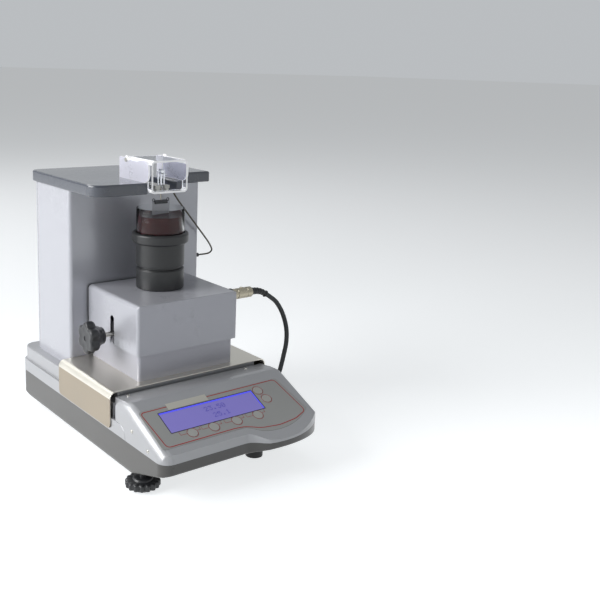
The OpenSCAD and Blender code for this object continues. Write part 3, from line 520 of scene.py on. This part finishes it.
film_grey = finish_for("panel film", (168, 169, 167), 0.4, grain=2400, relief=0.01,
                       cloud=0.03, Coat_Weight=0.15, Coat_Roughness=0.3)
red_ink = finish_for("red ink", (176, 62, 60), 0.45, grain=2400, relief=0.004, cloud=0.08)
dress(film_grey, "panel_overlay")
bm = bmesh.new()
ink_line(bm, softened([(-103.2, -60.4), (85.5, -59), (92.3, -111.4), (72.6, -118.3),
                       (46.5, -120.7), (22.3, -118), (3.4, -110.8), (-9.9, -109.8),
                       (-98.8, -110.3)], 5), 1.1, closed=True)
keys = [(-60.5, 51.4), (-31.8, 51.4), (-0.5, 51.4), (29.7, 51.4), (53.3, 16.7), (56.3, 31.5)]
for x, s in keys:
    y = down_slope(s)
    ring = [(x + 6.5 * math.cos(math.tau * k / 48), y + 6.1 * math.sin(math.tau * k / 48))
            for k in range(48)]
    ink_line(bm, ring, 0.55, closed=True)
    if s > 40:
        ink_line(bm, [(x - 15, y + 5), (x - 15, y + 0.8)], 0.5)
        ink_line(bm, [(x - 15.2, y + 0.6), (x - 7.2, y + 0.6)], 0.5)
        ink_line(bm, [(x + 7.2, y + 1.4), (x + 11.5, y + 1.4)], 0.5)
        ink_line(bm, [(x + 11.3, y + 1.2), (x + 11.3, y + 5)], 0.5)
new_piece("panel_print", printed("panel_print", bm), red_ink, "base", "overlay_grey")
bm = bmesh.new()
ink_line(bm, [(-69, -60.4), (-15, -60.2)], 8.6, lift=0.12)
new_piece("bare_label", printed("bare_label", bm),
          finish_for("label film", (206, 204, 194), 0.45, grain=1800, cloud=0.04), "base",
          "overlay_grey")
dress(finish_for("key film", (182, 182, 178), 0.42, grain=2000, relief=0.02, cloud=0.05),
      *["key_%d" % i for i in range(1, 7)])
dress(finish_for("board green", (30, 84, 50), 0.5, grain=500, relief=0.05, cloud=0.15),
      "main_board", "key_board")
dress(finish_for("module grey", (60, 60, 68), 0.5, grain=600, cloud=0.12), "display_module")

# ---------- display ----------
# The wide window shows a blue-violet backlit screen with two faint lines of dot figures.
# A darker border runs round it, and the backlight bleeds in along its upper edge.
screen = finish_for("display screen", (136, 126, 192), 0.16, grain=3000, relief=0.0,
                    cloud=0.04, cloud_size=30.0, uneven=0.03,
                    Emission_Color=colour(104, 98, 205), Emission_Strength=0.3,
                    Coat_Weight=0.5, Coat_Roughness=0.05)
dress(screen, "display_window")
window_y = [down_slope(s) for s in (13.9, 44.6)]
bm = bmesh.new()
ink_line(bm, [(-83.6, window_y[0] - 1.1), (44.6, window_y[0] - 1.1)], 2.0, lift=0.03)
ink_line(bm, [(43.7, window_y[0]), (43.7, window_y[1])], 1.4, lift=0.035)
new_piece("backlight_edge", printed("backlight_edge", bm),
          finish_for("backlight", (84, 84, 230), 0.2, cloud=0.1, relief=0.0,
                     Emission_Color=colour(80, 84, 255), Emission_Strength=0.5),
          "base", "window_blue")
bm = bmesh.new()
for a, b in (((-84.3, window_y[0] + 0.4), (45.3, window_y[0] + 0.4)),
             ((-84.3, window_y[1] - 0.4), (45.3, window_y[1] - 0.4)),
             ((-84.2, window_y[0]), (-84.2, window_y[1])),
             ((45.2, window_y[0]), (45.2, window_y[1]))):
    ink_line(bm, [a, b], 0.9, lift=0.08)
new_piece("window_border", printed("window_border", bm),
          finish_for("window border", (44, 36, 58), 0.4, cloud=0.1), "base", "window_blue")
figures = {"0": "0E11131519110E", "2": "0E11010204081F", "3": "1F02040201110E",
           "5": "1F101E0101110E", ".": "00000000000C0C", "1": "040C040404040E"}
dot_step, figure_step = 0.95, 5.9
dots = []
for text, left, top in (("23.50", -28, 21.5), ("25.1", -22, 32.5)):
    for n, sign in enumerate(text):
        for row in range(7):
            bits = int(figures[sign][2 * row:2 * row + 2], 16)
            for column in range(5):
                if bits >> (4 - column) & 1:
                    dots.append(on_panel(left + n * figure_step + column * dot_step,
                                         down_slope(top + row * dot_step), 0.04))
bm = bmesh.new()
bmesh.ops.create_grid(bm, x_segments=1, y_segments=1, size=0.00041)
dot = bpy.data.objects.new("dot", to_mesh("dot", bm))
bpy.context.scene.collection.objects.link(dot)
panel_up = Vector((0, -math.sin(slope), math.cos(slope)))
new_piece("display_figures",
          place_copies("display_figures", dots, [panel_up] * len(dots), dot,
                       finish_for("figure ink", (72, 66, 196), 0.3, cloud=0.05), 0.0),
          None, "base", "window_blue")

# ---------- saddle ----------
# A folded stainless sheet straps the stage to the base. Its top is brushed from side to side,
# and its ends are bent down over the casing as rounded flanges. The flanges take a darker beige
# copy of the same steel, a painted reflection of a beige desk.
brushed = finish_for("brushed steel", (226, 222, 212), 0.38, metal=1.0, grain=60,
                     relief=0.02, stretch=(1, 34, 34), cloud=0.07, uneven=0.08)
# the flange finish is the same steel made darker and beige: a painted reflection of a beige
# desk
flange_painted_reflection = finish_for("flange steel painted reflection", (172, 161, 145), 0.42, metal=1.0, grain=900,
                          relief=0.02, cloud=0.12, uneven=0.08)
saddle_mesh = eased("saddle_plate", (0.4, 2, lambda m, e: True))
saddle_mesh.materials.append(brushed)
saddle_mesh.materials.append(flange_painted_reflection)
bend_end = 0.0885
# faces below the bend take the flange finish with its painted reflection
for face in saddle_mesh.polygons:
    face.material_index = 1 if face.center.z < bend_end else 0
weigh(new_piece("saddle", saddle_mesh, None, "base", "saddle_steel", "saddle_plate"))

# ---------- stage cover and inner box ----------
# The outer cover slides up and down over a fixed inner box. Both are folded sheet in a
# silver-lilac paint, and a black rubber strip edges the cover at the back.
stage_paint = finish_for("stage paint", (186, 187, 194), 0.3, metal=0.2, grain=2200,
                         relief=0.008, cloud=0.03, Coat_Weight=0.2, Coat_Roughness=0.15)
box_paint = finish_for("box paint", (184, 184, 192), 0.34, metal=0.2, grain=2200,
                       relief=0.008, cloud=0.03)
trim_rubber = finish_for("trim rubber", (30, 31, 32), 0.55, grain=1300, relief=0.02)
weigh(new_piece("cover", eased("stage_cover", (0.8, 3, lambda m, e: m.z > 186 and
                                               e.is_convex),
                               (0.35, 2, lambda m, e: 129 < m.z < 186)),
                stage_paint, "stage", "cover_silver", "stage_cover"))
weigh(new_piece("inner_box", eased("lower_box", (0.3, 2, lambda m, e: m.z > 97)), box_paint,
                "base", "cover_silver", "lower_box"))
weigh(new_piece("cover_edge", eased("cover_trim"), trim_rubber, "stage", "trim_black",
                "cover_trim"))

# ---------- lifting jack ----------
# A scissor jack of bright steel strips carries the cover. Its screw runs in a plain block
# and a brass nut, behind the slot in the cover's left side.
dress(finish_for("jack steel", (160, 162, 166), 0.35, metal=1.0, grain=300, relief=0.02,
                 stretch=(1, 8, 1), cloud=0.08),
      "jack_base", "jack_top", "lower_arms_left", "lower_arms_right", "upper_arms_left",
      "upper_arms_right", "screw_block")
dress(finish_for("nut brass", (190, 160, 90), 0.3, metal=1.0, grain=300, relief=0.02,
                 cloud=0.08), "nut_block")

# ---------- star knob ----------
# A moulded black knob with six round lobes turns the jack's screw. Its face is dished round
# a small blind hole, and a cone leads back to its hub.


def lobed(name, profile, sides, start, axis, side, lobes, phase=0.0):
    """a turned body whose rim waves in and out; each ring has a distance, a radius and the
    depth of its waves, in millimetres"""
    bm = bmesh.new()
    axis, side = Vector(axis), Vector(side)
    over = axis.cross(side)
    rings = []
    for along, radius, wave in profile:
        ring = []
        for k in range(sides):
            a = math.tau * k / sides
            dip = (0.5 - 0.5 * math.cos(lobes * (a - phase))) ** 1.4
            r = max(radius - wave * dip, 0.001)
            ring.append(bm.verts.new(start + (axis * along + r * (
                math.cos(a) * side + math.sin(a) * over)) / 1000))
        rings.append(ring)
    for low, high in zip(rings, rings[1:]):
        for k in range(sides):
            bm.faces.new((low[k], low[(k + 1) % sides], high[(k + 1) % sides], high[k]))
    bm.faces.new(list(reversed(rings[0])))
    bm.faces.new(rings[-1])
    bmesh.ops.remove_doubles(bm, verts=bm.verts, dist=1.5e-6)
    return to_mesh(name, bm, 55)


knob_black = finish_for("knob black", (40, 41, 44), 0.36, grain=1200, relief=0.02,
                        cloud=0.12, uneven=0.1, Coat_Weight=0.2, Coat_Roughness=0.3)
knob_profile = [(1.2, 0, 0), (1.2, 2.5, 0), (0.3, 2.9, 0), (0.9, 9.0, 0.6), (0.3, 14.0, 2.4),
                (0.0, 16.6, 3.2), (0.5, 18.4, 3.7), (1.7, 19.5, 3.9), (3.4, 20.0, 4.0),
                (8.8, 20.0, 4.0), (10.6, 19.5, 3.9), (11.8, 18.2, 3.7), (12.1, 16.4, 2.4),
                (12.1, 14.2, 0), (18.6, 11.7, 0), (19.0, 10.6, 0), (19.3, 10.4, 0),
                (22.8, 10.4, 0), (23.4, 9.8, 0), (23.4, 0, 0)]
new_piece("knob", lobed("knob", knob_profile, 96, at(-108, 61.5, 140.7), (1, 0, 0),
                        (0, 0, -1), 6), knob_black, "lift_screw", "knob_black", "star_knob")

# ---------- pedestal and dish holder ----------
# A black moulded holder stands on a pedestal of the same plastic, with a neck between them.
# Its rim widens to a flange, and the dish drops into it.
cup_black = finish_for("cup black", (42, 43, 44), 0.36, grain=1400, relief=0.012, cloud=0.1,
                       uneven=0.08)
weigh(new_piece("holder", eased("dish_holder", (0.6, 3, lambda m, e: e.is_convex)),
                cup_black, "stage", "cup_black", "dish_holder"))
weigh(new_piece("foot_of_holder", eased("pedestal", (1.4, 3, lambda m, e: e.is_convex and
                                                     m.z < 217)),
                cup_black, "stage", "cup_black", "pedestal"))

# ---------- dish and sample ----------
# A clear glass dish with a fire-rounded rim holds a dark red-brown liquid, which creeps up
# a little where it meets the wall.
clear_glass = finish_for("dish glass", (248, 250, 250), 0.03, cloud=0, uneven=0.01,
                         relief=0.0, Transmission_Weight=1.0, IOR=1.13)
dish_foot = at(1, 70, 256.3)
dish_profile = [(0, 0), (0, 29.4), (0.6, 30), (32.4, 30), (32.9, 29.7), (33, 29.3),
                (32.9, 28.8), (32.4, 28.5), (2.6, 28.5), (2.0, 27.8), (2.0, 0)]
new_piece("glass_dish", turned("glass_dish", dish_profile, 96, dish_foot, (0, 0, 1)),
          clear_glass, "dish", "dish_glass", "dish")
sample = finish_for("sample liquid", (52, 18, 20), 0.14, grain=300, relief=0.0, cloud=0.12,
                    uneven=0.03, Specular_IOR_Level=0.25)
liquid_profile = [(2.05, 0), (2.05, 27.7), (2.7, 28.42), (23.6, 28.42), (23.4, 28.2),
                  (22.9, 27.6), (22.7, 26.6), (22.7, 0)]
new_piece("sample", turned("sample", liquid_profile, 96, dish_foot, (0, 0, 1)),
          sample, "dish", "dish_glass")

# ---------- column ----------
# A tall folded housing in the same silver paint holds the weighing cell. Its back is a
# separate sheet with six slots.
column_paint = finish_for("column paint", (192, 193, 200), 0.26, metal=0.2, grain=2000,
                          relief=0.006, cloud=0.015, cloud_size=6.0, Coat_Weight=0.4,
                          Coat_Roughness=0.08)
weigh(new_piece("column", eased("column_housing", (0.8, 3, lambda m, e:
      abs(e.verts[0].co.z - e.verts[1].co.z) > 0.1 and e.is_convex)), column_paint, "base",
      "column_silver", "column_housing"))
dress(column_paint, "column_back")
dress(finish_for("cell aluminium", (190, 190, 190), 0.3, metal=1.0, grain=400, cloud=0.06),
      "weighing_cell")

# ---------- cap ----------
# A thick moulded cap in glossy blue-grey closes the column and reaches forward in two
# fingers, either side of the weighing arm. Its paint has a fine orange peel.
cap_paint = finish_for("cap paint", (70, 75, 86), 0.26, grain=900, relief=0.06,
                       cloud=0.06, uneven=0.05, Coat_Weight=0.8, Coat_Roughness=0.1)
weigh(new_piece("cap_top", eased("cap", (2.6, 5, lambda m, e: m.z > 321.5 and e.is_convex
                                          and abs(m.z - 322.4) < 0.3
                                          and not (abs(abs(m.x) - 27.2) < 1.3 and m.y < 113)),
                                 (1.4, 3, lambda m, e: abs(m.z - 308.4) < 0.2
                                          and not (abs(m.x) < 92 and 127 < m.y < 217))),
                cap_paint, "base", "cap_blue_grey", "cap"))

# ---------- weighing arm, hook and plate ----------
# A pale cast arm reaches out of the column to a chromed stand. A barrel hangs there on a
# pin, and from its hook a fine wire carries the clip with the measuring plate.
dress(finish_for("arm cast", (186, 186, 180), 0.4, metal=0.5, grain=800, relief=0.04,
                 cloud=0.08), "hanger_arm")
dress(finish_for("hook chrome", (222, 224, 228), 0.12, metal=1.0, grain=300, cloud=0.03,
                 uneven=0.04), "hook_stand", "hook")
dress(finish_for("hanger wire", (168, 162, 146), 0.3, metal=1.0, cloud=0.08), "hanger_wire")
dress(finish_for("clip black", (52, 52, 56), 0.35, metal=0.3, cloud=0.1), "plate_holder")
dress(finish_for("roughened plate", (196, 197, 202), 0.45, grain=2000, relief=0.03,
                 cloud=0.1, Transmission_Weight=0.3, IOR=1.3), "measuring_plate")

# ---------- hood and cheeks ----------
# Two clear acrylic cheeks stand on the cap, and a flipping hood of bent acrylic turns on
# pivots between them. Their edges are sawn and left matt, and look white; they also glow
# faintly, a painted highlight for light caught in the sheet.


def sawn(node, narrow):
    """the drawn sheet part, with its second finish on faces that are only as wide as the
    sheet is thick"""
    mesh = eased(node, sharp=30)
    for face in mesh.polygons:
        rim = sum((mesh.vertices[face.vertices[i]].co
                   - mesh.vertices[face.vertices[i - 1]].co).length
                  for i in range(len(face.vertices)))
        face.material_index = 1 if 2000 * face.area / rim < narrow else 0
    return mesh


acrylic = finish_for("clear acrylic", (250, 251, 255), 0.04, cloud=0, uneven=0.02,
                     relief=0.0, Transmission_Weight=1.0, IOR=1.2)
haze = finish_for("hazy acrylic", (236, 236, 246), 0.3, cloud=0.05, relief=0.01,
                  Transmission_Weight=0.45, IOR=1.4)
# the matt white edges glow faintly: a painted highlight, though they are no lamp
sawn_edge_glow = finish_for("sawn edge with painted glow", (244, 245, 248), 0.5, grain=1500, relief=0.02,
                        cloud=0.03, Emission_Color=(1, 1, 1, 1), Emission_Strength=0.3)
for name, node, body, narrow, skin in (("clear_hood", "hood", "hood", 2.6, acrylic),
                                       ("cheek_left", "left_cheek", "base", 2.4, haze),
                                       ("cheek_right", "right_cheek", "base", 2.4, haze)):
    mesh = sawn(node, narrow)
    mesh.materials.append(skin)
    mesh.materials.append(sawn_edge_glow)
    new_piece(name, mesh, None, body, "hood_clear", node)

# ---------- feet ----------
# Two scalloped levelling wheels turn on studs in rubber pads, and two plain moulded feet
# stand under the other corners.
feet_black = finish_for("foot rubber", (30, 30, 31), 0.5, grain=1200, relief=0.03, cloud=0.12)
wheel_profile = [(3.0, 0, 0), (3.0, 17.8, 1.6), (3.5, 19.3, 2.1), (4.4, 19.8, 2.2),
                 (9.4, 19.8, 2.2), (10.4, 19.3, 2.1), (11.0, 18.0, 1.6), (11.0, 11.6, 0),
                 (13.0, 11.0, 0), (13.5, 10.4, 0), (13.5, 3.9, 0), (31.3, 3.9, 0),
                 (31.5, 3.6, 0), (31.5, 0, 0)]
for name, x, y in (("left", -100, -62), ("right", 88, 222)):
    new_piece("wheel_" + name,
              lobed("wheel_" + name, wheel_profile, 192, at(x, y, 0), (0, 0, 1), (1, 0, 0),
                    16, math.pi / 16),
              knob_black, name + "_foot_wheel", "knob_black", "foot_wheel_" + name)
dress(feet_black, "foot_pad_left", "foot_pad_right", "fixed_feet")

# ---------- floor and light ----------
# A pale floor runs back to grey with distance. A large soft lamp stands to the left, and
# the open sides of the room give the rest.
floor = bpy.data.objects.new("floor", bpy.data.meshes.new("floor"))
bm = bmesh.new()
bmesh.ops.create_grid(bm, x_segments=1, y_segments=1, size=60)
bm.to_mesh(floor.data)
bm.free()
bpy.context.scene.collection.objects.link(floor)
pale = finish_for("pale floor", (205, 207, 209), 0.8, grain=60, relief=0.0, cloud=0.01)
floor.data.materials.append(pale)
nodes, links = pale.node_tree.nodes, pale.node_tree.links
where = nodes.new("ShaderNodeTexCoord")
far = nodes.new("ShaderNodeVectorMath")
far.operation = "DOT_PRODUCT"
far.inputs[1].default_value = (ahead.x, ahead.y, 0)
links.new(where.outputs["Object"], far.inputs[0])
depth = nodes.new("ShaderNodeMath")
depth.operation = "ADD"
depth.inputs[1].default_value = -camera.location.dot(Vector((ahead.x, ahead.y, 0)))
links.new(far.outputs["Value"], depth.inputs[0])
near = nodes.new("ShaderNodeMath")
near.operation = "MAXIMUM"
near.inputs[1].default_value = 0.9
links.new(depth.outputs["Value"], near.inputs[0])
level = nodes.new("ShaderNodeMath")
level.operation = "POWER"
level.inputs[1].default_value = -2.0
links.new(near.outputs["Value"], level.inputs[0])
fade = nodes.new("ShaderNodeMapRange")
fade.inputs["From Min"].default_value = 0.0
fade.inputs["From Max"].default_value = 1.0
fade.inputs["To Min"].default_value = 0.35
fade.inputs["To Max"].default_value = 0.74
links.new(level.outputs["Value"], fade.inputs["Value"])


def rays_that_see(nodes, links):
    """1 for rays from the camera and off gloss or through glass, 0 for light on the part"""
    kind = nodes.new("ShaderNodeLightPath")
    seen = nodes.new("ShaderNodeMath")
    seen.operation = "ADD"
    links.new(kind.outputs["Is Camera Ray"], seen.inputs[0])
    links.new(kind.outputs["Is Glossy Ray"], seen.inputs[1])
    also = nodes.new("ShaderNodeMath")
    also.operation = "ADD"
    also.use_clamp = True
    links.new(seen.outputs["Value"], also.inputs[0])
    links.new(kind.outputs["Is Transmission Ray"], also.inputs[1])
    return also.outputs["Value"]


glow = nodes.new("ShaderNodeMath")
glow.operation = "MULTIPLY"
links.new(fade.outputs["Result"], glow.inputs[0])
links.new(rays_that_see(nodes, links), glow.inputs[1])
skin = nodes["Principled BSDF"]
skin.inputs["Specular IOR Level"].default_value = 0
skin.inputs["Emission Color"].default_value = (0.97, 0.99, 1, 1)
links.new(glow.outputs["Value"], skin.inputs["Emission Strength"])

world = bpy.data.worlds.new("studio")
bpy.context.scene.world = world
world.use_nodes = True
nodes, links = world.node_tree.nodes, world.node_tree.links
nodes["Background"].inputs["Color"].default_value = (0.93, 0.965, 1, 1)
shown = nodes.new("ShaderNodeMapRange")
shown.inputs["To Min"].default_value = 0.22
shown.inputs["To Max"].default_value = 0.53
links.new(rays_that_see(nodes, links), shown.inputs["Value"])
links.new(shown.outputs["Result"], nodes["Background"].inputs["Strength"])

for name, place, size, power in (("left softbox", (-2.8, 0.8, 1.4), (2.2, 2.2), 108),
                                 ("rear softbox", (-0.3, 2.0, 1.9), (2.4, 0.8), 15),
                                 ("front fill", (0.9, -2.2, 1.2), (1.6, 1.6), 3)):
    lamp = bpy.data.lights.new(name, "AREA")
    lamp.shape = "RECTANGLE"
    lamp.size, lamp.size_y = size
    lamp.energy = power
    holder = bpy.data.objects.new(name, lamp)
    holder.location = place
    holder.rotation_mode = "QUATERNION"
    holder.rotation_quaternion = (Vector((0, 0, 0.15)) - Vector(place)).to_track_quat("-Z", "Y")
    bpy.context.scene.collection.objects.link(holder)
